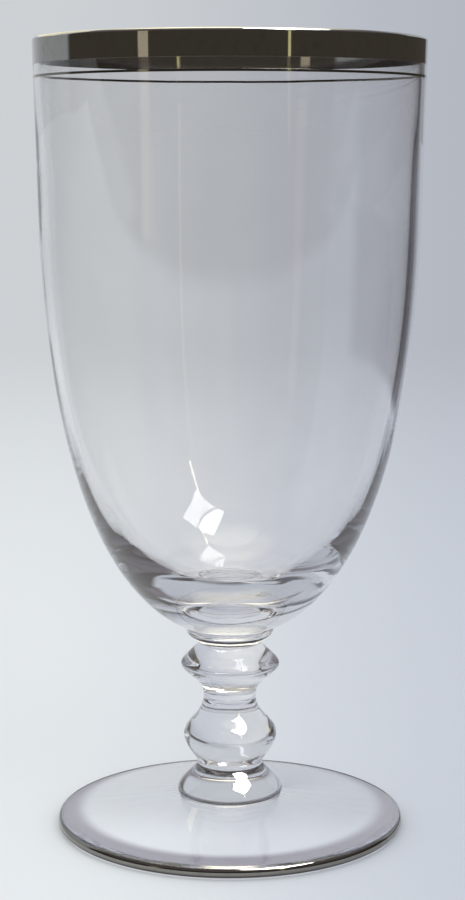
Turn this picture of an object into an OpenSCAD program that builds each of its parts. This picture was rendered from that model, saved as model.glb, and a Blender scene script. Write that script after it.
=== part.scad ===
// Stemmed iced tea glass with fired metal bands.
// Sizes are in mm. The glass stands on z = 0 and is round about the z axis.

/* [Bowl] */
// Diameter of the bowl at the lip, over the metal
rim_diameter = 83.2; // [76:0.2:90]
// Height of the bowl, from its flat base to the top of the lip, over the metal
bowl_height = 126.2; // [110:0.1:145]
// Diameter of the bowl's flat base
bowl_base_diameter = 20; // [19.6:0.2:24]
// Length of the straight wall, from the lip down
straight_wall = 36; // [25:1:50]
// How much the outside diameter narrows down the straight wall
wall_taper = 1.6; // [0:0.1:4]
// Slope of the underside where it leaves the base, in degrees
base_slope = 24; // [15:1:30]
// Pull of the straight wall on the curves below it, as a share of their height
shoulder_pull = 0.345; // [0.28:0.005:0.4]
// Pull of the base slope on the outside curve, as a share of the curve's width
base_pull = 0.875; // [0.84:0.005:0.95]
// Pull of the level bottom on the inside curve, as a share of the inside radius
bottom_pull = 0.9; // [0.85:0.01:0.94]
// Wall thickness at the lip
lip_wall = 1.3; // [1:0.05:1.8]
// Wall thickness at the lower end of the straight wall
mid_wall = 1.8; // [1.5:0.05:2.4]
// Depth of glass on the axis, from the inside of the bowl to its flat base
base_glass = 7; // [5.5:0.5:10]

/* [Collar] */
// Diameter of the collar between the bowl and the stem
collar_diameter = 19; // [17:0.1:19.5]
// Height of the collar
collar_height = 3.6; // [2.8:0.1:5]
// Height of the collar's rounded upper edge
collar_edge = 0.9; // [0.5:0.1:1.4]

/* [Stem] */
// Diameter where the stem meets the collar
top_waist_diameter = 13.6; // [10:0.1:15]
// Diameter of the upper knop
upper_knop_diameter = 21.7; // [17:0.1:26]
// Height of the upper knop's edge above the neck
upper_knop_rise = 7.3; // [5:0.1:11]
// Height of the stem's upper end above the upper knop's edge
stem_end_rise = 4.6; // [3:0.1:7]
// Roundness of the upper knop: a small value gives a sharper edge
upper_knop_round = 0.25; // [0.1:0.01:0.6]
// Diameter of the neck between the knops
neck_diameter = 11.4; // [9:0.1:15]
// Height of the neck above the lower knop's edge
neck_rise = 8.9; // [6:0.1:12]
// Softness of the neck's curve
neck_round = 0.48; // [0.2:0.01:0.6]
// Diameter of the lower knop
lower_knop_diameter = 20.5; // [17:0.1:26]
// Height of the lower knop's edge above the stem's lower end
lower_knop_rise = 6.3; // [4:0.1:9]
// Roundness of the lower knop: a small value gives a sharper edge
lower_knop_round = 0.36; // [0.1:0.01:0.6]
// Diameter where the stem meets the button
bottom_waist_diameter = 14; // [10:0.1:16]
// Softness of the crease at each end of the stem
crease_round = 0.15; // [0.05:0.05:0.4]

/* [Foot] */
// Diameter of the foot, over the metal on its edge
foot_diameter = 76.2; // [68:0.2:84]
// Diameter of the button that joins the stem to the foot
button_diameter = 23; // [18:0.1:28]
// Height of the button
button_height = 6.9; // [5.5:0.1:10]
// Height of the button's rounded lower edge
button_edge = 0.8; // [0.4:0.1:2]
// Height of the foot's top under the button
foot_height = 6.6; // [5:0.1:8]
// Thickness of the foot, at its edge and over its hollow
foot_edge = 2.4; // [2:0.1:3]
// Width of the level ring that the foot stands on
rest_width = 2.5; // [1.5:0.1:4]

/* [Metal] */
// Thickness of the metal film
film = 0.1; // [0.08:0.01:0.2]
// Height of the wide band, from the lip down
band_height = 5.6; // [3:0.1:9]
// Gap between the wide band and the pin line
line_gap = 2.3; // [1:0.1:4]
// Width of the pin line
line_width = 0.5; // [0.3:0.05:1]
// How far the foot's band climbs above the middle of the edge, in degrees
foot_band_climb = 48; // [35:1:75]
// How far the foot's band wraps below the middle of the edge, in degrees
foot_band_wrap = 65; // [45:1:75]

/* [Hidden] */
$fn = 180;
curve_steps = 30;
round_steps = 10;

// Heights stack from the table up: foot, button, stem, collar, bowl
stem_bottom = foot_height + button_height;
lower_knop_z = stem_bottom + lower_knop_rise;
neck_z = lower_knop_z + neck_rise;
upper_knop_z = neck_z + upper_knop_rise;
stem_top = upper_knop_z + stem_end_rise;
bowl_base_height = stem_top + collar_height;
total_height = bowl_base_height + bowl_height;

// The bowl's glass, inside the metal
rim_r = rim_diameter / 2 - film;
lip_r = lip_wall / 2;
lip_z = total_height - film - lip_r;
lip_mid = [rim_r - lip_r, lip_z];
wall_end_z = total_height - film - straight_wall;
wall_end_r = rim_r - wall_taper / 2;
wall_lean = [-wall_taper / 2, wall_end_z - lip_z];
wall_way = wall_lean / norm(wall_lean);
base_r = bowl_base_diameter / 2;
bottom_z = bowl_base_height + base_glass;

// The turned pieces between the bowl and the foot
collar_r = collar_diameter / 2;
top_waist_r = top_waist_diameter / 2;
bottom_waist_r = bottom_waist_diameter / 2;
button_r = button_diameter / 2;
seat_r = button_r - button_edge / 2;

// The foot's rounded edge, inside the metal
edge_r = foot_edge / 2;
edge_mid = [foot_diameter / 2 - film - edge_r, edge_r];

// The metal on the wall
band_z = total_height - band_height;
line_top = band_z - line_gap;
line_bottom = line_top - line_width;

// Outside radius of the straight wall at a height
function wall_r(z) = rim_r - wall_taper / 2 * (lip_z - z) / (lip_z - wall_end_z);

// Cubic curve from a to d that leaves a towards b and reaches d from c, without its first point
function bezier(a, b, c, d, steps) = [
    for (i = [1:steps])
        let (t = i / steps, s = 1 - t)
            s * s * s * a + 3 * s * s * t * b + 3 * s * t * t * c + t * t * t * d
];

// Curve between two radii that is upright at both ends; each share is the pull of that end
function swell(r0, z0, share0, r1, z1, share1) = bezier(
    [r0, z0],
    [r0, z0 + share0 * (z1 - z0)],
    [r1, z1 - share1 * (z1 - z0)],
    [r1, z1],
    curve_steps
);

// Circular arc about a point, with both of its ends
function arc(mid, r, from, to) = [
    for (i = [0:2 * round_steps])
        let (a = from + (to - from) * i / (2 * round_steps))
            mid + r * [cos(a), sin(a)]
];

// Blown bowl: a straight wall, then one curve down to the flat base; thick glass at the bottom
module bowl() {
    outer_rise = wall_end_z - bowl_base_height;
    inner_rise = wall_end_z - bottom_z;
    inner_r = wall_end_r - mid_wall;
    slope_way = [cos(base_slope), sin(base_slope)];
    color([0.86, 0.88, 0.92, 0.35])
        rotate_extrude()
            polygon(concat(
                [[0, bowl_base_height], [base_r, bowl_base_height]],
                bezier(
                    [base_r, bowl_base_height],
                    [base_r, bowl_base_height] + base_pull * (wall_end_r - base_r) * slope_way,
                    [wall_end_r, wall_end_z] + shoulder_pull * outer_rise * wall_way,
                    [wall_end_r, wall_end_z],
                    2 * curve_steps
                ),
                arc(lip_mid, lip_r, 0, 180),
                [[inner_r, wall_end_z]],
                bezier(
                    [inner_r, wall_end_z],
                    [inner_r, wall_end_z] + shoulder_pull * inner_rise * wall_way,
                    [bottom_pull * inner_r, bottom_z],
                    [0, bottom_z],
                    2 * curve_steps
                )
            ));
}

// Collar: the wafer of glass that joins the bowl to the stem, widest near its top
module collar() {
    widest_z = bowl_base_height - collar_edge;
    color([0.84, 0.87, 0.91, 0.35])
        rotate_extrude()
            polygon(concat(
                [[0, stem_top], [top_waist_r, stem_top]],
                swell(top_waist_r, stem_top, crease_round, collar_r, widest_z, 0.5),
                bezier(
                    [collar_r, widest_z],
                    [collar_r, widest_z + collar_edge / 2],
                    [collar_r - collar_edge / 4, bowl_base_height],
                    [collar_r - collar_edge / 2, bowl_base_height],
                    round_steps
                ),
                [[0, bowl_base_height]]
            ));
}

// Stem: a sharp-edged upper knop and a rounder lower knop with a slim neck between them
module stem() {
    lower_r = lower_knop_diameter / 2;
    neck_r = neck_diameter / 2;
    upper_r = upper_knop_diameter / 2;
    color([0.82, 0.86, 0.90, 0.35])
        rotate_extrude()
            polygon(concat(
                [[0, stem_bottom], [bottom_waist_r, stem_bottom]],
                swell(bottom_waist_r, stem_bottom, crease_round, lower_r, lower_knop_z, lower_knop_round),
                swell(lower_r, lower_knop_z, lower_knop_round, neck_r, neck_z, neck_round),
                swell(neck_r, neck_z, neck_round, upper_r, upper_knop_z, upper_knop_round),
                swell(upper_r, upper_knop_z, upper_knop_round, top_waist_r, stem_top, crease_round),
                [[0, stem_top]]
            ));
}

// Button: the bell of glass at the bottom of the stem, with a rounded lower edge
module button() {
    widest_z = foot_height + button_edge;
    color([0.84, 0.87, 0.91, 0.35])
        rotate_extrude()
            polygon(concat(
                [[0, foot_height], [seat_r, foot_height]],
                bezier(
                    [seat_r, foot_height],
                    [seat_r + button_edge / 4, foot_height],
                    [button_r, widest_z - button_edge / 2],
                    [button_r, widest_z],
                    round_steps
                ),
                swell(button_r, widest_z, 0.35, bottom_waist_r, stem_bottom, crease_round),
                [[0, stem_bottom]]
            ));
}

// Foot: a shallow cone of even thickness with a rounded edge. The hollow under it repeats the curve of its
// top, moved in by the width of the level ring and down by the thickness.
module foot() {
    run = edge_mid[0] - seat_r;
    rise = foot_height - foot_edge;
    start = [edge_mid[0], foot_edge];
    top = bezier(
        start,
        start + [-0.4 * run, 0.25 * rise],
        start + [-0.75 * run, 0.6 * rise],
        [seat_r, foot_height],
        curve_steps
    );
    under = [for (p = concat([start], top)) p - [rest_width, foot_edge]];
    color([0.86, 0.88, 0.92, 0.35])
        rotate_extrude()
            polygon(concat(
                [[0, rise]],
                [for (i = [curve_steps:-1:0]) under[i]],
                arc(edge_mid, edge_r, -90, 90),
                top,
                [[0, foot_height]]
            ));
}

// Wide metal band: down the outside from the lip, and over the lip to its inner edge
module rim_band() {
    color([0.46, 0.45, 0.43])
        rotate_extrude()
            polygon(concat(
                [[wall_r(band_z), band_z], [wall_r(band_z) + film, band_z]],
                arc(lip_mid, lip_r + film, 0, 180),
                arc(lip_mid, lip_r, 180, 0)
            ));
}

// Pin line: the hairline of metal below the wide band
module pin_line() {
    color([0.28, 0.27, 0.24])
        rotate_extrude()
            polygon([
                [wall_r(line_bottom), line_bottom],
                [wall_r(line_bottom) + film, line_bottom],
                [wall_r(line_top) + film, line_top],
                [wall_r(line_top), line_top]
            ]);
}

// Foot band: the metal line around the foot's rounded edge
module foot_band() {
    color([0.28, 0.27, 0.24])
        rotate_extrude()
            polygon(concat(
                arc(edge_mid, edge_r + film, -foot_band_wrap, foot_band_climb),
                arc(edge_mid, edge_r, foot_band_climb, -foot_band_wrap)
            ));
}

bowl();
collar();
stem();
button();
foot();
rim_band();
pin_line();
foot_band();
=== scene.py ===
"""Looks of a stemmed iced tea glass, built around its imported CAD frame.

The glass is one closed surface of revolution, because its pieces are fused hot and light crosses the
joints between them without a break. The three metal films are shells on it. Sizes are in metres.
"""
import math

import bpy
import numpy as np
from bpy.props import FloatProperty, FloatVectorProperty, IntProperty, PointerProperty
from bpy.types import Operator, Panel, PropertyGroup
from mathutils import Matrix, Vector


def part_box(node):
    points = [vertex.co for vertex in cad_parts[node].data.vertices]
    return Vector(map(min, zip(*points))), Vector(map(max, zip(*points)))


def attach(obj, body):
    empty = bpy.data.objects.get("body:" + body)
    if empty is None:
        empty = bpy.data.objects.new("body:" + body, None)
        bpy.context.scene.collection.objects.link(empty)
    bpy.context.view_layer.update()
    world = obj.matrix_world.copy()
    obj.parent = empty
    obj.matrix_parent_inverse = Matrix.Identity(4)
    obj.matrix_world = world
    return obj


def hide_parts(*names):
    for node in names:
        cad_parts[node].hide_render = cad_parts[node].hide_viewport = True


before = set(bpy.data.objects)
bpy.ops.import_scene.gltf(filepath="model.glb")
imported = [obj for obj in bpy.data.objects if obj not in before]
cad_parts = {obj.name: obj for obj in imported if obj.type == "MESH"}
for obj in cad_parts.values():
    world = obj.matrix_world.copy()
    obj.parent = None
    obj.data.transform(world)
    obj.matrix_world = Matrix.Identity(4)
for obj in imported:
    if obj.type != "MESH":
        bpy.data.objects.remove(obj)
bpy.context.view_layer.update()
BOX = {name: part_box(name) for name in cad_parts}

bl_info = {
    "name": "Stemmed iced tea glass",
    "version": (1, 0, 0),
    "blender": (4, 5, 0),
    "location": "3D View > Sidebar > Glassware",
    "description": "Builds a banded, stemmed iced tea glass with its materials and a plain studio",
    "category": "Add Mesh",
}

MM = 0.001

# Sampling of the profile: samples in one softening length, softening lengths that the blur reaches, the
# longest step, the sharpest turn at one step, and the distance under which two points are one.
SOFT_SAMPLES = 4
SOFT_REACH = 4
LONGEST_STEP = 2.2 * MM
SHARPEST_STEP = math.radians(5.5)
SAME_POINT = 1e-8

# Points that pull the foot's top curve, from its edge, as shares of its run outwards and of its rise.
FOOT_PULLS = ((-0.40, 0.25), (-0.75, 0.60))

# Rows of points up the metal films, and how deep their inner face is sunk as a share of their thickness.
BAND_ROWS = 16
LINE_ROWS = 9
FILM_SINK = 0.5

# Counts and phases of the waves around the bowl's wall and of the swirls around the stem and base.
WAVE_COUNTS = np.array([5, 9, 14, 22, 31])[:, None]
SWIRL_COUNTS = np.array([2, 3, 5, 7])[:, None]
WAVE_PHASE = 2.4
SWIRL_PHASE = 1.3
INSIDE_PHASE = 1.7
SWIRL_CLIMB = 4 * MM

# Heights above the bowl's base where the waves start and the swirls end, and the lengths of their fades.
WAVE_START = 10 * MM
WAVE_FADE = 40 * MM
LINE_FADE = 20 * MM
SWIRL_END = 26 * MM
SWIRL_FADE = 20 * MM
STEM_FADE = 4 * MM
AXIS_FADE = 8 * MM

# Noise values between which handling marks roughen and tint the glass, and the metal thins out.
SMEAR_NOISE = (0.5, 0.75)
TOUCH_NOISE = (0.45, 0.8)
THIN_NOISE = (0.5, 0.8)

# Touched glass and thin metal as shares of the full colour, and what wear and brushing add to roughness.
TOUCHED = 0.97
THIN = 0.82
WORN = 0.5
BRUSHED = 0.4

# Floor disc, the point on the axis that most lights face, how far off they stand, and the key's spread.
FLOOR_RADIUS = 60.0
FLOOR_SIDES = 96
FLOOR_DROP = 0.2 * MM
MIDDLE = (0, 0, 0.1)
KEY_DISTANCE = 2.0
KEY_SPREAD = math.radians(60)
CARD_DISTANCE = 1.3

# Longest paths of light: all bounces together, and crossings of a glass face.
MOST_BOUNCES = 128
MOST_CROSSINGS = 32

# Pairs between which the floor fades: into painted shade far away and to the side, and into the dark room
# at its ends.
FLOOR_FAR = (-0.1, 1.2)
FLOOR_SIDE = (-0.10, 0.14)
END_RIGHT = (0.40, 0.52)
END_BEHIND = (-0.3, -0.1)
END_REACH = (0.38, 0.46)
END_FRONT = (-0.60, -0.85)

# Shade of the foot's metal on the floor: its middle, the distances from there between which it starts,
# and the distances from the axis between which it ends.
SHADE_MIDDLE = (0.0, 5 * MM, 0.0)
SHADE_START = (31 * MM, 35 * MM)
SHADE_END = (38.8 * MM, 37.8 * MM)

# Gathered light: from where to where it grows towards the front, and its share at the back.
GATHER_FRONT = (10 * MM, -20 * MM)
GATHER_BACK = 0.25

# Pairs between which the surroundings fade: turns to the right from straight behind the glass, and upward
# shares of the ray's direction. The backdrop's right end goes from one turn to the other as rays climb.
BACKDROP_LEFT = (math.radians(-77), math.radians(-73))
BACKDROP_RIGHT = (math.radians(22), math.radians(56))
RIGHT_CLIMB = (0.05, 0.14)
RIGHT_FADE = (math.radians(4), math.radians(-4))
BACKDROP_TOP = (0.80, 0.50)
SIDE_DIM = (math.radians(-45), math.radians(-15))
SWEEP_CLIMB = (0.08, 0.2)
ROOM_CLIMB = (0.25, 0.6)
OVERHEAD = (0.81, 0.97)

# How much further left the backdrop goes for a ray through glass, its brightness far left, and what a
# second mirroring takes from it.
THROUGH_TURN = math.radians(35)
SIDE_SHARE = 0.68
SECOND_LOSS = 0.7


def length(label, text, default):
    """Length property in metres."""
    return FloatProperty(name=label, description=text, default=default, min=0.0, precision=5, unit="LENGTH")


def share(label, text, default):
    """Property that is a share of something else."""
    return FloatProperty(name=label, description=text, default=default, min=0.0, max=1.0, subtype="FACTOR")


def angle(label, text, default):
    """Angle property in radians."""
    return FloatProperty(name=label, description=text, default=default, subtype="ANGLE")


def amount(label, text, default):
    """Plain number property."""
    return FloatProperty(name=label, description=text, default=default)


def colour(label, text, default):
    """Colour property in linear light."""
    return FloatVectorProperty(name=label, description=text, default=default, size=3, min=0.0, max=1.0,
                               subtype="COLOR")


class TEAGLASS_PG_sizes(PropertyGroup):
    """Sizes of the glass. Those that a CAD node's box shows are read from it."""

    height: length("Height", "Table to the top of the lip, over the metal", BOX["rim_band"][1].z)
    rim_radius: length("Rim radius", "Radius at the lip, over the metal", BOX["rim_band"][1].x)
    film: length("Film", "CAD thickness of the metal films", BOX["rim_band"][1].x - BOX["bowl"][1].x)
    lip_wall: length("Lip wall", "Wall thickness at the lip", 1.3 * MM)
    mid_wall: length("Middle wall", "Wall thickness at the end of the straight wall", 1.8 * MM)
    straight_wall: length("Straight wall", "Length of the straight wall, from the lip down", 36.0 * MM)
    wall_taper: length("Wall taper", "How much the radius narrows down the straight wall", 0.8 * MM)
    base_z: length("Bowl base", "Height of the bowl's base", BOX["bowl"][0].z)
    base_radius: length("Bowl base radius", "Radius of the bowl's base", 10.0 * MM)
    base_glass: length("Base glass", "Depth of glass under the inside of the bowl", 7.0 * MM)
    base_slope: angle("Base slope", "Slope of the bowl where it leaves its base", math.radians(24.0))
    shoulder_pull: share("Shoulder pull", "Pull of the straight wall on the curves below it", 0.345)
    base_pull: share("Base pull", "Pull of the base slope on the outside curve", 0.875)
    bottom_pull: share("Bottom pull", "Pull of the level bottom on the inside curve", 0.9)
    collar_radius: length("Collar radius", "Radius of the collar under the bowl", BOX["collar"][1].x)
    collar_edge: length("Collar edge", "Height of the collar's rounded upper edge", 0.9 * MM)
    collar_pull: share("Collar pull", "Pull of the collar's edge on the curve below it", 0.5)
    stem_top: length("Stem top", "Height of the crease above the stem", BOX["stem"][1].z)
    stem_bottom: length("Stem bottom", "Height of the crease below the stem", BOX["stem"][0].z)
    top_waist: length("Top waist", "Radius of the upper crease", 6.8 * MM)
    upper_knop: length("Upper knop", "Radius of the upper knop", BOX["stem"][1].x)
    upper_knop_drop: length("Upper knop drop", "Upper knop's edge below the stem's top", 4.6 * MM)
    upper_pull: share("Upper knop pull", "Pull of the upper knop's edge on the curves beside it", 0.25)
    neck_radius: length("Neck", "Radius of the neck between the knops", 5.7 * MM)
    neck_rise: length("Neck rise", "Neck above the lower knop's edge", 8.9 * MM)
    neck_pull: share("Neck pull", "Pull of the neck on the curves beside it", 0.48)
    lower_knop: length("Lower knop", "Radius of the lower knop", 10.25 * MM)
    lower_knop_rise: length("Lower knop rise", "Lower knop's edge above the stem's bottom", 6.3 * MM)
    lower_pull: share("Lower knop pull", "Pull of the lower knop's edge on the curves beside it", 0.36)
    bottom_waist: length("Bottom waist", "Radius of the lower crease", 7.0 * MM)
    waist_pull: share("Waist pull", "Pull of each crease on the curves beside it", 0.15)
    button_radius: length("Button radius", "Radius of the button on the foot", BOX["button"][1].x)
    button_edge: length("Button edge", "Height of the button's rounded lower edge", 0.8 * MM)
    button_pull: share("Button pull", "Pull of the button's edge on the curve above it", 0.35)
    foot_top: length("Foot top", "Height of the foot's top under the button", BOX["button"][0].z)
    foot_radius: length("Foot radius", "Radius of the foot, over the metal", BOX["foot_band"][1].x)
    foot_edge: length("Foot edge", "Thickness of the foot, at its edge and over its hollow", 2.4 * MM)
    rest_width: length("Rest width", "Width of the level ring under the foot", 2.5 * MM)
    band_bottom: length("Band bottom", "Height of the wide band's lower edge", BOX["rim_band"][0].z)
    line_bottom: length("Line bottom", "Height of the pin line's lower edge", BOX["pin_line"][0].z)
    line_top: length("Line top", "Height of the pin line's upper edge", BOX["pin_line"][1].z)
    foot_climb: angle("Foot band climb", "How far the metal climbs above the edge's middle",
                      math.radians(48.0))
    foot_wrap: angle("Foot band wrap", "How far the metal wraps below the edge's middle",
                     math.radians(65.0))
    crease_soft: length("Crease softness", "How far melting has rounded the creases", 0.16 * MM)
    film_look: length("Film look", "Thickness that the films show, close to real fired metal", 0.02 * MM)
    striae: length("Striae", "Depth of the faint upright waves in the bowl's wall", 0.04 * MM)
    swirl: length("Swirl", "Depth of the swirls in the stem and the thick glass of the base", 0.07 * MM)
    segments: IntProperty(name="Segments", description="Steps around the glass", default=176,
                          min=32, max=256)


class TEAGLASS_PG_looks(PropertyGroup):
    """Colours and finishes of the glass and of the metal."""

    glass_tint: colour("Glass tint", "Tint of the clear glass", (0.96, 0.955, 0.955))
    glass_depth: colour("Depth tint", "Colour that thick glass tends to", (0.72, 0.72, 0.78))
    smear: share("Smear", "Roughness of the faint handling marks on the glass", 0.02)
    band: colour("Band metal", "Colour of the wide band", (0.46, 0.45, 0.43))
    line: colour("Line metal", "Colour of the thinner metal of the two lines", (0.28, 0.27, 0.24))
    band_rough: share("Band roughness", "Roughness of the bright metal", 0.03)
    line_rough: share("Line roughness", "Roughness of the pin line and the foot band", 0.06)


class TEAGLASS_PG_stage(PropertyGroup):
    """Floor, lights and camera."""

    floor: colour("Floor", "Colour of the floor near the glass, on the left", (0.86, 0.90, 0.93))
    # Painted shade that greys the floor and backdrop towards the right and far away:
    floor_right: colour("Floor right", "Tint of the floor towards the right", (0.74, 0.75, 0.81))
    floor_far: colour("Floor far", "Tint of the floor and backdrop far away", (0.745, 0.745, 0.75))
    room: colour("Room", "Dark surroundings that bright metal mirrors", (0.072, 0.062, 0.050))
    beyond: colour("Beyond", "Dark room beyond the ends of the floor", (0.060, 0.054, 0.064))
    room_high: colour("Room high", "Dark surroundings further up", (0.19, 0.17, 0.185))
    ceiling: colour("Overhead", "Colour of the light overhead that the lip mirrors", (1.0, 0.95, 0.74))
    ceiling_glow: amount("Overhead glow", "Brightness of the broad light overhead", 3.0)
    over_lean: angle("Overhead lean", "How far the light overhead leans back", math.radians(14.0))
    sweep: colour("Sweep", "Backdrop above eye level, which the foot mirrors", (0.60, 0.64, 0.68))
    gather: amount("Gathered light", "Light that the bowl gathers on the floor under the foot", 0.26)
    rim_shade: colour("Rim shade", "Floor in the shade of the foot's metal", (0.43, 0.41, 0.47))
    fill: amount("Fill", "Strength of the even light from all round", 0.88)
    key: amount("Key", "Strength of the soft light from the front right", 0.3)
    key_turn: angle("Key turn", "Soft light's turn to the right of the camera's side", math.radians(28))
    key_rise: angle("Key rise", "Soft light's rise above the horizon", math.radians(42))
    glow: amount("Softbox", "Brightness of the softbox that glass mirrors", 28.0)
    lens: FloatProperty(name="Lens", description="Focal length on a 36 mm frame", default=79.9,
                        unit="CAMERA")
    distance: length("Distance", "Camera to the glass's axis", 0.4279)
    eye: length("Eye height", "Camera above the table", 0.1463)
    pitch: angle("Pitch", "How far the camera looks down", 0.1469)
    yaw: angle("Yaw", "How far the camera looks to the right", 0.0013)


def bezier(a, b, c, d, steps=60):
    """Cubic curve from a to d that leaves a towards b and reaches d from c."""
    t = np.linspace(0.0, 1.0, steps)[:, None]
    s = 1.0 - t
    a, b, c, d = (np.asarray(p, float) for p in (a, b, c, d))
    return s**3 * a + 3 * s**2 * t * b + 3 * s * t**2 * c + t**3 * d


def swell(r0, z0, share0, r1, z1, share1):
    """Curve between two radii that is upright at both ends; each share is the pull of that end."""
    rise = z1 - z0
    return bezier((r0, z0), (r0, z0 + share0 * rise), (r1, z1 - share1 * rise), (r1, z1))


def arc(mid, radius, start, end, steps=40):
    """Circular arc about a point, angles in radians."""
    a = np.linspace(start, end, steps)
    return np.stack([mid[0] + radius * np.cos(a), mid[1] + radius * np.sin(a)], 1)


def lip_circle(s):
    """Middle and radius of the round lip."""
    radius = s.lip_wall / 2
    return (s.rim_radius - s.film - radius, s.height - s.film - radius), radius


def edge_circle(s):
    """Middle and radius of the foot's round edge."""
    radius = s.foot_edge / 2
    return (s.foot_radius - s.film - radius, radius), radius


def wall_radius(s, z):
    """Outside radius of the straight wall at a height: a straight line from the lip down."""
    mid, radius = lip_circle(s)
    drop = mid[1] - (s.height - s.film - s.straight_wall)
    return mid[0] + radius - s.wall_taper * (mid[1] - z) / drop


def film_sides(s):
    """How far a metal film's outer and inner faces lie outside the glass; the inner one is sunk in it."""
    return s.film_look, -FILM_SINK * s.film_look


def glass_profile(s):
    """Half section of the whole glass, from the hollow under the foot up the outside, over the lip and down
    the inside to the bottom of the bowl: arcs, straight lines and cubic curves laid end to end."""
    edge, edge_r = edge_circle(s)
    lip, lip_r = lip_circle(s)
    seat_r = s.button_radius - s.button_edge / 2
    run, rise = edge[0] - seat_r, s.foot_top - s.foot_edge
    start = np.array([edge[0], s.foot_edge])
    near, far = (start + np.multiply(pull, (run, rise)) for pull in FOOT_PULLS)
    foot = bezier(start, near, far, (seat_r, s.foot_top))
    hollow = foot[::-1] - (s.rest_width, s.foot_edge)
    lower_z = s.stem_bottom + s.lower_knop_rise
    neck_z = lower_z + s.neck_rise
    upper_z = s.stem_top - s.upper_knop_drop
    widest_collar = s.base_z - s.collar_edge
    widest_button = s.foot_top + s.button_edge
    end = np.array([lip[0] + lip_r - s.wall_taper, s.height - s.film - s.straight_wall])
    way = np.array([-s.wall_taper, end[1] - lip[1]])
    way /= np.hypot(*way)
    base = np.array([s.base_radius, s.base_z])
    slope = np.array([math.cos(s.base_slope), math.sin(s.base_slope)])
    inner = np.array([end[0] - s.mid_wall, end[1]])
    bottom_z = s.base_z + s.base_glass
    return np.concatenate([
        [(0.0, rise)],
        hollow,
        arc(edge, edge_r, -math.pi / 2, math.pi / 2),
        foot,
        bezier((seat_r, s.foot_top), (seat_r + s.button_edge / 4, s.foot_top),
               (s.button_radius, widest_button - s.button_edge / 2), (s.button_radius, widest_button)),
        swell(s.button_radius, widest_button, s.button_pull, s.bottom_waist, s.stem_bottom, s.waist_pull),
        swell(s.bottom_waist, s.stem_bottom, s.waist_pull, s.lower_knop, lower_z, s.lower_pull),
        swell(s.lower_knop, lower_z, s.lower_pull, s.neck_radius, neck_z, s.neck_pull),
        swell(s.neck_radius, neck_z, s.neck_pull, s.upper_knop, upper_z, s.upper_pull),
        swell(s.upper_knop, upper_z, s.upper_pull, s.top_waist, s.stem_top, s.waist_pull),
        swell(s.top_waist, s.stem_top, s.waist_pull, s.collar_radius, widest_collar, s.collar_pull),
        bezier((s.collar_radius, widest_collar), (s.collar_radius, widest_collar + s.collar_edge / 2),
               (s.collar_radius - s.collar_edge / 4, s.base_z),
               (s.collar_radius - s.collar_edge / 2, s.base_z)),
        bezier(base, base + s.base_pull * (end[0] - base[0]) * slope,
               end + s.shoulder_pull * (end[1] - s.base_z) * way, end, steps=120),
        arc(lip, lip_r, 0.0, math.pi),
        bezier(inner, inner + s.shoulder_pull * (end[1] - bottom_z) * way,
               (s.bottom_pull * inner[0], bottom_z), (0.0, bottom_z), steps=120),
    ])


def soften(points, soft, longest, turn):
    """The same path, blurred along its length by soft and mirrored in the axis at both ends, then sampled
    so that points gather where it bends: no step is over longest, and none turns by more than turn."""
    step = np.hypot(*np.diff(points, axis=0).T)
    points = points[np.concatenate([[True], step > SAME_POINT])]
    along = np.concatenate([[0.0], np.cumsum(np.hypot(*np.diff(points, axis=0).T))])
    even = np.linspace(0.0, along[-1], int(along[-1] / (soft / SOFT_SAMPLES)))
    gap = even[1]
    r, z = (np.interp(even, along, points[:, k]) for k in (0, 1))
    reach = int(math.ceil(SOFT_REACH * soft / gap))
    weight = np.exp(-0.5 * (np.arange(-reach, reach + 1) * gap / soft) ** 2)
    weight /= weight.sum()
    r = np.convolve(np.concatenate([-r[reach:0:-1], r, -r[-2:-reach - 2:-1]]), weight, "valid")
    z = np.convolve(np.concatenate([z[reach:0:-1], z, z[-2:-reach - 2:-1]]), weight, "valid")
    bend = np.abs(np.gradient(np.unwrap(np.arctan2(np.gradient(z), np.gradient(r)))))
    count = np.concatenate([[0.0], np.cumsum((gap / longest + bend / turn)[1:])])
    at = np.interp(np.linspace(0.0, count[-1], int(math.ceil(count[-1])) + 1), count, even)
    out = np.stack([np.interp(at, even, r), np.interp(at, even, z)], 1)
    out[[0, -1], 0] = 0.0
    return out


def add_mesh(name, verts, faces):
    """Mesh object at the origin from an array of points and arrays of faces. All faces of one array have
    the same number of corners."""
    mesh = bpy.data.meshes.new(name)
    corners = np.concatenate([f.ravel() for f in faces]).astype(np.int32)
    sizes = np.concatenate([np.full(len(f), f.shape[1]) for f in faces]).astype(np.int32)
    starts = np.concatenate([[0], np.cumsum(sizes)[:-1]]).astype(np.int32)
    mesh.vertices.add(len(verts))
    mesh.vertices.foreach_set("co", np.asarray(verts, np.float32).ravel())
    mesh.loops.add(len(corners))
    mesh.loops.foreach_set("vertex_index", corners)
    mesh.polygons.add(len(sizes))
    mesh.polygons.foreach_set("loop_start", starts)
    mesh.polygons.foreach_set("use_smooth", np.ones(len(sizes), bool))
    mesh.update(calc_edges=True)
    if mesh.validate():
        raise RuntimeError(f"{name} has a bad face")
    obj = bpy.data.objects.new(name, mesh)
    bpy.context.scene.collection.objects.link(obj)
    return obj


def ring_points(profile, segments, shift=None):
    """Points of the surface x = r cos a, y = r sin a, z = z, one row for each point of the profile. shift
    adds to r at each point and angle."""
    a = np.arange(segments) * (2 * np.pi / segments)
    r = profile[:, :1] + (0.0 if shift is None else shift(profile, a))
    z = np.broadcast_to(profile[:, 1:], (len(profile), segments))
    return np.stack([r * np.cos(a), r * np.sin(a), z], 2)


def ring_faces(rows, segments):
    """Four-cornered faces between neighbouring rows of points, facing away from the material."""
    here, there = rows[:-1, None] * segments, rows[1:, None] * segments
    j = np.arange(segments)
    k = (j + 1) % segments
    return np.stack([here + j, here + k, there + k, there + j], 2).reshape(-1, 4)


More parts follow.
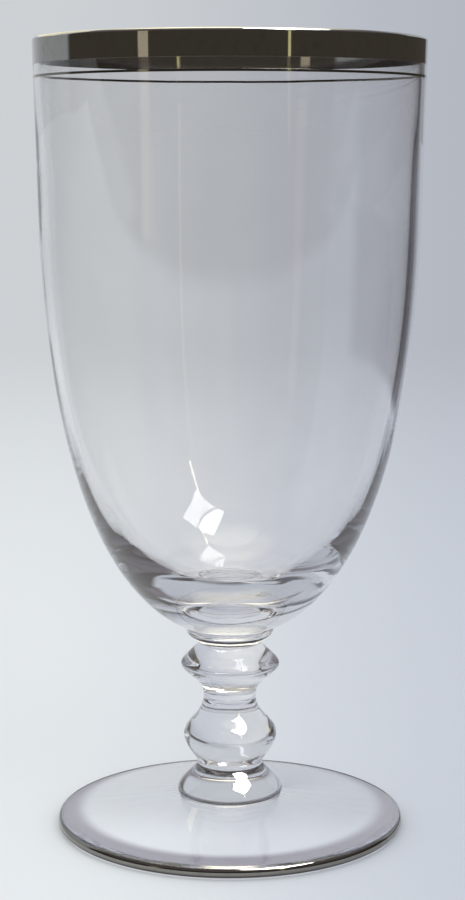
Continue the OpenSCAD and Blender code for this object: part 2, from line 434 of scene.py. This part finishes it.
def add_solid(name, profile, segments, shift=None):
    """Closed surface of revolution whose profile starts and ends on the axis."""
    rows = ring_points(profile[1:-1], segments, shift)
    n = len(rows)
    verts = np.concatenate([rows.reshape(-1, 3), [[0, 0, profile[0, 1]], [0, 0, profile[-1, 1]]]])
    j = np.arange(segments)
    k = (j + 1) % segments
    top = (n - 1) * segments
    first = np.stack([np.full(segments, n * segments), k, j], 1)
    last = np.stack([top + j, top + k, np.full(segments, n * segments + 1)], 1)
    return add_mesh(name, verts, [ring_faces(np.arange(n), segments), first, last])


def crisp(path, hold=0.01 * MM):
    """The same path with one more point close to each end, which keeps the shading of a cut edge off the
    face."""
    first, last = path[1] - path[0], path[-2] - path[-1]
    near = [path[0] + hold * first / np.hypot(*first), path[-1] + hold * last / np.hypot(*last)]
    return np.concatenate([path[:1], near[:1], path[1:-1], near[1:], path[-1:]])


def add_film(name, outer, inner, segments):
    """Closed ring whose section runs up an outer path and back down an inner one."""
    loop = np.concatenate([crisp(outer), crisp(inner)[::-1]])
    order = np.append(np.arange(len(loop)), 0)
    return add_mesh(name, ring_points(loop, segments).reshape(-1, 3), [ring_faces(order, segments)])


def ease(x):
    """Smooth step from 0 to 1 as x goes from 0 to 1."""
    x = np.clip(x, 0.0, 1.0)
    return x * x * (3.0 - 2.0 * x)


def striae(s):
    """Faint upright waves in the wall and swirls in the stem and the thick base. The waves are a sum of
    cosines around the bowl, each with its own count and phase, the inside out of step with the outside,
    fading out under the metal and at the bottom. The swirls are cosines too, whose phase runs on with the
    height, fading out towards the button and up the bowl."""

    def shift(profile, a):
        r, z = profile.T
        inside = np.arange(len(profile)) > int(z.argmax())
        side = np.where(inside, INSIDE_PHASE, 0.0)[:, None, None]
        wave = np.cos(WAVE_COUNTS * a + WAVE_PHASE * WAVE_COUNTS + side * WAVE_COUNTS)
        wave = (wave / np.sqrt(WAVE_COUNTS)).sum(1)
        wall = ease((z - s.base_z - WAVE_START) / WAVE_FADE) * ease((s.line_bottom - z) / LINE_FADE)
        climb = (z / SWIRL_CLIMB)[:, None, None] * np.sqrt(SWIRL_COUNTS)
        swirl = np.cos(SWIRL_COUNTS * a + climb + SWIRL_PHASE * SWIRL_COUNTS * (1 + side))
        swirl = (swirl / np.sqrt(SWIRL_COUNTS)).sum(1)
        core = ease((z - s.stem_bottom) / STEM_FADE) * ease((s.base_z + SWIRL_END - z) / SWIRL_FADE)
        core = core * ease(r / AXIS_FADE)
        return s.striae * wall[:, None] * wave + s.swirl * core[:, None] * swirl

    return shift


def put(tree, made, key, value):
    """Sets an input of a node, or links an output to it."""
    socket = made.inputs[int(key) if key.isdigit() else key]
    if isinstance(value, bpy.types.NodeSocket):
        tree.links.new(value, socket)
    else:
        socket.default_value = value


def node(tree, kind, **inputs):
    """New shader node with some of its inputs set or linked by name."""
    made = tree.nodes.new(kind)
    for key, value in inputs.items():
        put(tree, made, key.replace("_", " "), value)
    return made


def fed(tree, kind, values, operation=None):
    """New shader node with its first inputs set or linked in order."""
    made = tree.nodes.new(kind)
    if operation:
        made.operation = operation
    for i, value in enumerate(values):
        put(tree, made, str(i), value)
    return made


def math_node(tree, operation, *values):
    """Output of a Math node."""
    return fed(tree, "ShaderNodeMath", values, operation).outputs[0]


def vector_node(tree, operation, *values):
    """Outputs of a Vector Math node: a vector, and a number named Value."""
    return fed(tree, "ShaderNodeVectorMath", values, operation).outputs


def scaled(tree, vector, factor):
    """Output of a vector or colour times a number."""
    made = fed(tree, "ShaderNodeVectorMath", [vector], "SCALE")
    put(tree, made, "Scale", factor)
    return made.outputs[0]


def mix_colour(tree, factor, a, b, blend="MIX"):
    """Output of a colour mix."""
    made = tree.nodes.new("ShaderNodeMix")
    made.data_type = "RGBA"
    made.blend_type = blend
    for i, value in ((0, factor), (6, a), (7, b)):
        put(tree, made, str(i), value)
    return made.outputs[2]


def span(tree, value, low, high, to_low=0.0, to_high=1.0):
    """Output of a smooth Map Range."""
    made = fed(tree, "ShaderNodeMapRange", (value, low, high, to_low, to_high))
    made.interpolation_type = "SMOOTHSTEP"
    return made.outputs[0]


def flat_way(tree, vector):
    """Level part of a vector, brought to length 1, as separate outputs."""
    flat = vector_node(tree, "MULTIPLY", vector, (1, 1, 0))[0]
    out = vector_node(tree, "NORMALIZE", flat)[0]
    return node(tree, "ShaderNodeSeparateXYZ", Vector=out).outputs


def around(tree, turn, rise):
    """Object coordinates bent round the axis: the first two give the way out from the axis, scaled by turn,
    and the third is the height, scaled by rise. A noise on them has no seam."""
    place = tree.nodes.new("ShaderNodeTexCoord").outputs["Object"]
    way = flat_way(tree, place)
    spot = node(tree, "ShaderNodeSeparateXYZ", Vector=place).outputs
    return node(tree, "ShaderNodeCombineXYZ",
                X=math_node(tree, "MULTIPLY", way[0], turn),
                Y=math_node(tree, "MULTIPLY", way[1], turn),
                Z=math_node(tree, "MULTIPLY", spot[2], rise)).outputs[0]


def new_material(name):
    """Material with an empty Principled shader, its tree and that shader."""
    made = bpy.data.materials.new(name)
    made.use_nodes = True
    return made, made.node_tree, made.node_tree.nodes["Principled BSDF"]


def glass_material(looks):
    """Clear fire-polished glass: faint upright cords, faint handling marks and a lilac depth."""
    made, tree, shader = new_material("glass_look")
    shader.inputs["Transmission Weight"].default_value = 1.0
    shader.inputs["IOR"].default_value = 1.52
    cords = node(tree, "ShaderNodeTexNoise", Vector=around(tree, turn=9.0, rise=6.0), Scale=1.0, Detail=2.0)
    bump = node(tree, "ShaderNodeBump", Strength=0.02, Distance=0.4 * MM, Height=cords.outputs["Fac"])
    tree.links.new(bump.outputs[0], shader.inputs["Normal"])
    place = tree.nodes.new("ShaderNodeTexCoord").outputs["Object"]
    marks = node(tree, "ShaderNodeTexNoise", Vector=place, Scale=55.0, Detail=4.0).outputs["Fac"]
    tree.links.new(span(tree, marks, *SMEAR_NOISE, 0.0, looks.smear), shader.inputs["Roughness"])
    clean = (*looks.glass_tint, 1)
    touched = (*(TOUCHED * c for c in looks.glass_tint), 1)
    tint = mix_colour(tree, span(tree, marks, *TOUCH_NOISE), clean, touched)
    tree.links.new(tint, shader.inputs["Base Color"])
    depth = node(tree, "ShaderNodeVolumeAbsorption", Color=(*looks.glass_depth, 1), Density=12.0)
    tree.links.new(depth.outputs[0], tree.nodes["Material Output"].inputs["Volume"])
    return made


def metal_material(name, tint, rough):
    """Bright fired metal: fine brush lines around the glass, thin places a little darker and duller."""
    made, tree, shader = new_material(name)
    shader.inputs["Metallic"].default_value = 1.0
    fine, broad = around(tree, turn=1.5, rise=5200.0), around(tree, turn=22.0, rise=350.0)
    brush = node(tree, "ShaderNodeTexNoise", Vector=fine, Scale=1.0, Detail=3.0).outputs["Fac"]
    cloud = node(tree, "ShaderNodeTexNoise", Vector=broad, Scale=1.0, Detail=4.0).outputs["Fac"]
    thin = span(tree, cloud, *THIN_NOISE)
    shade = mix_colour(tree, thin, (*tint, 1), (*(THIN * c for c in tint), 1))
    tree.links.new(shade, shader.inputs["Base Color"])
    worn = math_node(tree, "MULTIPLY_ADD", thin, WORN * rough, rough)
    brushed = math_node(tree, "MULTIPLY_ADD", brush, BRUSHED * rough, worn)
    tree.links.new(brushed, shader.inputs["Roughness"])
    bump = node(tree, "ShaderNodeBump", Strength=0.03, Distance=0.02 * MM, Height=brush)
    tree.links.new(bump.outputs[0], shader.inputs["Normal"])
    return made


def place_piece(obj, material, slot, *nodes):
    """Gives a finished piece its material and its place in the frame."""
    obj.data.materials.append(material)
    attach(obj, "root")
    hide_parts(*nodes)


class TEAGLASS_OT_glass(Operator):
    """Build the fused glass: foot, button, stem, collar and bowl in one clear surface"""

    bl_idname = "tea_glass.glass"
    bl_label = "Glass"

    def execute(self, context):
        s, looks = context.scene.tea_glass_sizes, context.scene.tea_glass_looks
        profile = soften(glass_profile(s), s.crease_soft, LONGEST_STEP, SHARPEST_STEP)
        obj = add_solid("fused_glass", profile, s.segments, striae(s))
        place_piece(obj, glass_material(looks), "clear_glass", "bowl", "collar", "stem", "button", "foot")
        return {"FINISHED"}


class TEAGLASS_OT_rim_band(Operator):
    """Build the wide metal band that runs over the lip"""

    bl_idname = "tea_glass.rim_band"
    bl_label = "Rim band"

    def execute(self, context):
        s, looks = context.scene.tea_glass_sizes, context.scene.tea_glass_looks
        lip, lip_r = lip_circle(s)
        z = np.linspace(s.band_bottom, lip[1], BAND_ROWS)[:-1]
        paths = []
        for off in film_sides(s):
            wall = np.stack([wall_radius(s, z) + off, z], 1)
            paths.append(np.concatenate([wall, arc(lip, lip_r + off, 0.0, math.pi)]))
        obj = add_film("rim_band_metal", *paths, s.segments)
        metal = metal_material("band_look", looks.band, looks.band_rough)
        place_piece(obj, metal, "band_metal", "rim_band")
        return {"FINISHED"}


class TEAGLASS_OT_pin_line(Operator):
    """Build the metal hairline below the wide band"""

    bl_idname = "tea_glass.pin_line"
    bl_label = "Pin line"

    def execute(self, context):
        s, looks = context.scene.tea_glass_sizes, context.scene.tea_glass_looks
        z = np.linspace(s.line_bottom, s.line_top, LINE_ROWS)
        paths = [np.stack([wall_radius(s, z) + off, z], 1) for off in film_sides(s)]
        obj = add_film("pin_line_metal", *paths, s.segments)
        metal = metal_material("line_look", looks.line, looks.line_rough)
        place_piece(obj, metal, "line_metal", "pin_line")
        return {"FINISHED"}


class TEAGLASS_OT_foot_band(Operator):
    """Build the metal line round the foot's edge, in the pin line's metal"""

    bl_idname = "tea_glass.foot_band"
    bl_label = "Foot band"

    def execute(self, context):
        s = context.scene.tea_glass_sizes
        edge, edge_r = edge_circle(s)
        paths = [arc(edge, edge_r + off, -s.foot_wrap, s.foot_climb) for off in film_sides(s)]
        obj = add_film("foot_band_metal", *paths, s.segments)
        place_piece(obj, bpy.data.materials["line_look"], "line_metal", "foot_band")
        return {"FINISHED"}


def aim(obj, turn, rise, distance, target):
    """Puts an object at a turn to the right of the camera's side and a rise above the horizon, facing
    target."""
    way = np.array([math.sin(turn) * math.cos(rise), -math.cos(turn) * math.cos(rise), math.sin(rise)])
    obj.location = np.asarray(target) + distance * way
    obj.rotation_euler = (math.pi / 2 - rise, 0.0, turn)


def at_most(tree, output, count):
    """1 where a count of the Light Path node is at most count, else 0."""
    path = tree.nodes.new("ShaderNodeLightPath")
    return math_node(tree, "LESS_THAN", path.outputs[output], count + 0.5)


def more_than(tree, output, count):
    """1 where a count of the Light Path node is more than count, else 0."""
    path = tree.nodes.new("ShaderNodeLightPath")
    return math_node(tree, "GREATER_THAN", path.outputs[output], count + 0.5)


def sharp_ray(tree):
    """1 for a ray that comes from the camera by way of glass or metal alone, else 0."""
    path = tree.nodes.new("ShaderNodeLightPath").outputs
    sharp = math_node(tree, "MAXIMUM", path["Is Glossy Ray"], path["Is Transmission Ray"])
    return math_node(tree, "MULTIPLY", sharp, at_most(tree, "Diffuse Depth", 0))


def cards(stage):
    """Settings of the glowing cards: the softbox, the two parts of its stand, a strip on the left and a
    light behind the lip."""
    return (
        dict(name="softbox", tint=(1.0, 1.0, 1.0), glow=stage.glow, turn=50, rise=62, width=0.66,
             height=0.60, roll=25),
        dict(name="stand", tint=(1.0, 0.95, 0.7), glow=14.0, turn=38, rise=43, width=0.05, height=0.5,
             top=0.2),
        dict(name="stand_low", tint=(0.9, 0.85, 0.45), glow=1.0, turn=33, rise=16, width=0.035,
             height=0.75),
        dict(name="strip", tint=(0.75, 0.66, 0.5), glow=0.8, turn=-49, rise=4, width=0.14, height=0.5),
        dict(name="lip_light", tint=(1.0, 0.93, 0.72), glow=1.4, turn=-148, rise=33, width=0.3, height=0.17,
             distance=0.25, bends=0, target=(-0.03, 0.0, 0.17)),
    )


def add_card(name, tint, glow, turn, rise, width, height, distance=CARD_DISTANCE, roll=0, top=1.0,
             bends=MOST_CROSSINGS, target=MIDDLE):
    """Glowing card that glass and metal mirror once; it lights nothing else and the camera doesn't see it.
    Angles are in degrees. top is its width at the top as a share of width, and bends is how often a ray to
    it may have crossed a glass face."""
    corner = np.array([(-1, -1), (1, -1), (top, 1), (-top, 1)]) * (width / 2, height / 2)
    c, s = math.cos(math.radians(roll)), math.sin(math.radians(roll))
    mesh = bpy.data.meshes.new(name)
    mesh.from_pydata([(c * x - s * y, s * x + c * y, 0.0) for x, y in corner], [], [(0, 1, 2, 3)])
    obj = bpy.data.objects.new(name, mesh)
    bpy.context.scene.collection.objects.link(obj)
    aim(obj, math.radians(turn), math.radians(rise), distance, target)
    obj.visible_camera = obj.visible_diffuse = obj.visible_shadow = False
    made, tree, shader = new_material(name)
    tree.nodes.remove(shader)
    light = node(tree, "ShaderNodeEmission", Color=(*tint, 1), Strength=glow)
    clear = node(tree, "ShaderNodeBsdfTransparent")
    shown = at_most(tree, "Diffuse Depth", 0)
    shown = math_node(tree, "MULTIPLY", shown, at_most(tree, "Glossy Depth", 1))
    shown = math_node(tree, "MULTIPLY", shown, at_most(tree, "Transmission Depth", bends))
    both = fed(tree, "ShaderNodeMixShader", (shown, clear.outputs[0], light.outputs[0]))
    tree.links.new(both.outputs[0], tree.nodes["Material Output"].inputs["Surface"])
    mesh.materials.append(made)


def floor_tone(tree, stage, side, far):
    """Colour of the floor and the backdrop beyond it, greyed by painted shade to the right and far away."""
    far_shade = (*(a * b for a, b in zip(stage.floor, stage.floor_far)), 1)
    tone = mix_colour(tree, far, (*stage.floor, 1), far_shade)
    return mix_colour(tree, span(tree, side, *FLOOR_SIDE), tone, (*stage.floor_right, 1), "MULTIPLY")


def floor_material(stage):
    """Matt pale floor. A mirrored ray sees it end in the dark room, far out on the right and in front.
    Through the foot it is a little brighter, most of all on the near side, where the bowl gathers light,
    and darker in a ring along the foot's edge, in the shade of the metal. The ring is centred further back
    than the foot, because the thick glass hides the nearest strip of the floor under it."""
    made, tree, shader = new_material("pale_floor")
    tree.nodes.remove(shader)
    place = tree.nodes.new("ShaderNodeTexCoord").outputs["Object"]
    spot = node(tree, "ShaderNodeSeparateXYZ", Vector=place).outputs
    way = flat_way(tree, place)
    reach = vector_node(tree, "LENGTH", place)["Value"]
    sharp = sharp_ray(tree)
    seen = vector_node(tree, "ADD", place, (0.0, stage.distance, 0.0))[0]
    # Floor colour with its painted shade to the right and far away.
    tone = floor_tone(tree, stage, flat_way(tree, seen)[0], span(tree, spot[1], *FLOOR_FAR))
    end = math_node(tree, "MULTIPLY", span(tree, way[0], *END_RIGHT), span(tree, way[1], *END_BEHIND))
    end = math_node(tree, "MULTIPLY", end, span(tree, reach, *END_REACH))
    end = math_node(tree, "MAXIMUM", end, span(tree, spot[1], *END_FRONT))
    end = math_node(tree, "MULTIPLY", end, sharp)
    end = math_node(tree, "MULTIPLY", end, more_than(tree, "Glossy Depth", 0))
    out = vector_node(tree, "DISTANCE", place, SHADE_MIDDLE)["Value"]
    ring = math_node(tree, "MULTIPLY", span(tree, out, *SHADE_START), span(tree, reach, *SHADE_END))
    ring = math_node(tree, "MULTIPLY", ring, sharp)
    bare = mix_colour(tree, end, tone, (*stage.beyond, 1))
    matt = node(tree, "ShaderNodeBsdfDiffuse", Color=mix_colour(tree, ring, bare, (*stage.rim_shade, 1)))
    under = math_node(tree, "MULTIPLY", span(tree, out, *SHADE_START[::-1]), sharp)
    gathered = span(tree, spot[1], *GATHER_FRONT, GATHER_BACK * stage.gather, stage.gather)
    strength = math_node(tree, "MULTIPLY", under, gathered)
    light = node(tree, "ShaderNodeEmission", Color=tone, Strength=strength)
    both = fed(tree, "ShaderNodeAddShader", (matt.outputs[0], light.outputs[0]))
    tree.links.new(both.outputs[0], tree.nodes["Material Output"].inputs["Surface"])
    return made


def studio_world(stage, lit):
    """Surroundings: even light for the floor and, for the camera, a backdrop that goes on from the floor
    under the same light. Rays from glass or metal see a dark room, paler further up, with that backdrop
    behind and to the left, its sweep above eye level, and a broad light overhead that leans back."""
    world = bpy.data.worlds.new("studio")
    world.use_nodes = True
    world.cycles.sampling_method = "NONE"
    tree = world.node_tree
    vector = tree.nodes.new("ShaderNodeTexCoord").outputs["Generated"]
    way = node(tree, "ShaderNodeSeparateXYZ", Vector=vector).outputs
    # Backdrop for the camera, with the same painted shade as the floor.
    pale = scaled(tree, floor_tone(tree, stage, flat_way(tree, vector)[0], 1.0), lit)
    turn = math_node(tree, "ARCTAN2", way[0], way[1])
    through = more_than(tree, "Transmission Depth", 0)
    left = span(tree, math_node(tree, "MULTIPLY_ADD", through, THROUGH_TURN, turn), *BACKDROP_LEFT)
    edge = span(tree, way[2], *RIGHT_CLIMB, *BACKDROP_RIGHT)
    right = span(tree, math_node(tree, "SUBTRACT", turn, edge), *RIGHT_FADE)
    behind = math_node(tree, "MULTIPLY", left, right)
    behind = math_node(tree, "MULTIPLY", behind, span(tree, way[2], *BACKDROP_TOP))
    dull = math_node(tree, "MULTIPLY_ADD", more_than(tree, "Glossy Depth", 1), -SECOND_LOSS, 1.0)
    aside = span(tree, turn, *SIDE_DIM, SIDE_SHARE, 1.0)
    dim = scaled(tree, pale, math_node(tree, "MULTIPLY", aside, dull))
    back = mix_colour(tree, span(tree, way[2], *SWEEP_CLIMB), dim, (*stage.sweep, 1))
    room = mix_colour(tree, span(tree, way[2], *ROOM_CLIMB), (*stage.room, 1), (*stage.room_high, 1))
    room = mix_colour(tree, behind, room, back)
    lean = (0.0, math.sin(stage.over_lean), math.cos(stage.over_lean))
    high = vector_node(tree, "DOT_PRODUCT", vector, lean)["Value"]
    over = (*(stage.ceiling_glow * c for c in stage.ceiling), 1)
    room = mix_colour(tree, span(tree, high, *OVERHEAD), room, over)
    light = mix_colour(tree, sharp_ray(tree), (stage.fill, stage.fill, stage.fill, 1), room)
    direct = tree.nodes.new("ShaderNodeLightPath").outputs["Is Camera Ray"]
    tree.links.new(mix_colour(tree, direct, light, pale), tree.nodes["Background"].inputs["Color"])
    bpy.context.scene.world = world


class TEAGLASS_OT_stage(Operator):
    """Set out the pale floor, the soft lights and the camera"""

    bl_idname = "tea_glass.stage"
    bl_label = "Stage"

    def execute(self, context):
        scene, stage = context.scene, context.scene.tea_glass_stage
        a = np.linspace(0.0, 2 * np.pi, FLOOR_SIDES, endpoint=False)
        x, y = FLOOR_RADIUS * np.cos(a), FLOOR_RADIUS * np.sin(a)
        rim = np.stack([x, y, np.full_like(a, -FLOOR_DROP)], 1)
        floor = add_mesh("floor", rim, [np.arange(FLOOR_SIDES)[None, :]])
        floor.data.materials.append(floor_material(stage))
        studio_world(stage, stage.fill + stage.key * math.sin(stage.key_rise) / math.pi)
        key = bpy.data.objects.new("key", bpy.data.lights.new("key", "SUN"))
        key.data.energy = stage.key
        key.data.angle = KEY_SPREAD
        key.visible_glossy = key.visible_transmission = False
        scene.collection.objects.link(key)
        aim(key, stage.key_turn, stage.key_rise, KEY_DISTANCE, MIDDLE)
        for card in cards(stage):
            add_card(**card)
        cam = bpy.data.objects.new("camera", bpy.data.cameras.new("camera"))
        cam.data.lens = stage.lens
        cam.data.clip_start = 10 * MM
        cam.location = (0.0, -stage.distance, stage.eye)
        cam.rotation_euler = (math.pi / 2 - stage.pitch, 0.0, -stage.yaw)
        scene.collection.objects.link(cam)
        scene.camera = cam
        scene.view_settings.view_transform = "Standard"
        scene.cycles.blur_glossy = 0.0
        scene.cycles.max_bounces = MOST_BOUNCES
        scene.cycles.glossy_bounces = MOST_BOUNCES
        scene.cycles.transmission_bounces = MOST_CROSSINGS
        return {"FINISHED"}


class TEAGLASS_PT_panel(Panel):
    """Sizes, looks and the build steps"""

    bl_label = "Iced tea glass"
    bl_idname = "TEAGLASS_PT_panel"
    bl_space_type = "VIEW_3D"
    bl_region_type = "UI"
    bl_category = "Glassware"

    def draw(self, context):
        for key in GROUPS:
            group = getattr(context.scene, key)
            box = self.layout.box()
            for name in group.__annotations__:
                box.prop(group, name)
        for step in STEPS:
            self.layout.operator(step.bl_idname)


STEPS = (
    TEAGLASS_OT_glass,
    TEAGLASS_OT_rim_band,
    TEAGLASS_OT_pin_line,
    TEAGLASS_OT_foot_band,
    TEAGLASS_OT_stage,
)
GROUPS = {
    "tea_glass_sizes": TEAGLASS_PG_sizes,
    "tea_glass_looks": TEAGLASS_PG_looks,
    "tea_glass_stage": TEAGLASS_PG_stage,
}
CLASSES = (*GROUPS.values(), *STEPS, TEAGLASS_PT_panel)


def register():
    """Register the classes and hang the property groups on the scene."""
    for cls in CLASSES:
        bpy.utils.register_class(cls)
    for key, group in GROUPS.items():
        setattr(bpy.types.Scene, key, PointerProperty(type=group))


def unregister():
    """Undo register."""
    for key in GROUPS:
        delattr(bpy.types.Scene, key)
    for cls in reversed(CLASSES):
        bpy.utils.unregister_class(cls)


def main():
    """Build every piece and the stage."""
    register()
    bpy.ops.tea_glass.glass()
    bpy.ops.tea_glass.rim_band()
    bpy.ops.tea_glass.pin_line()
    bpy.ops.tea_glass.foot_band()
    bpy.ops.tea_glass.stage()


if __name__ == "__main__":
    main()
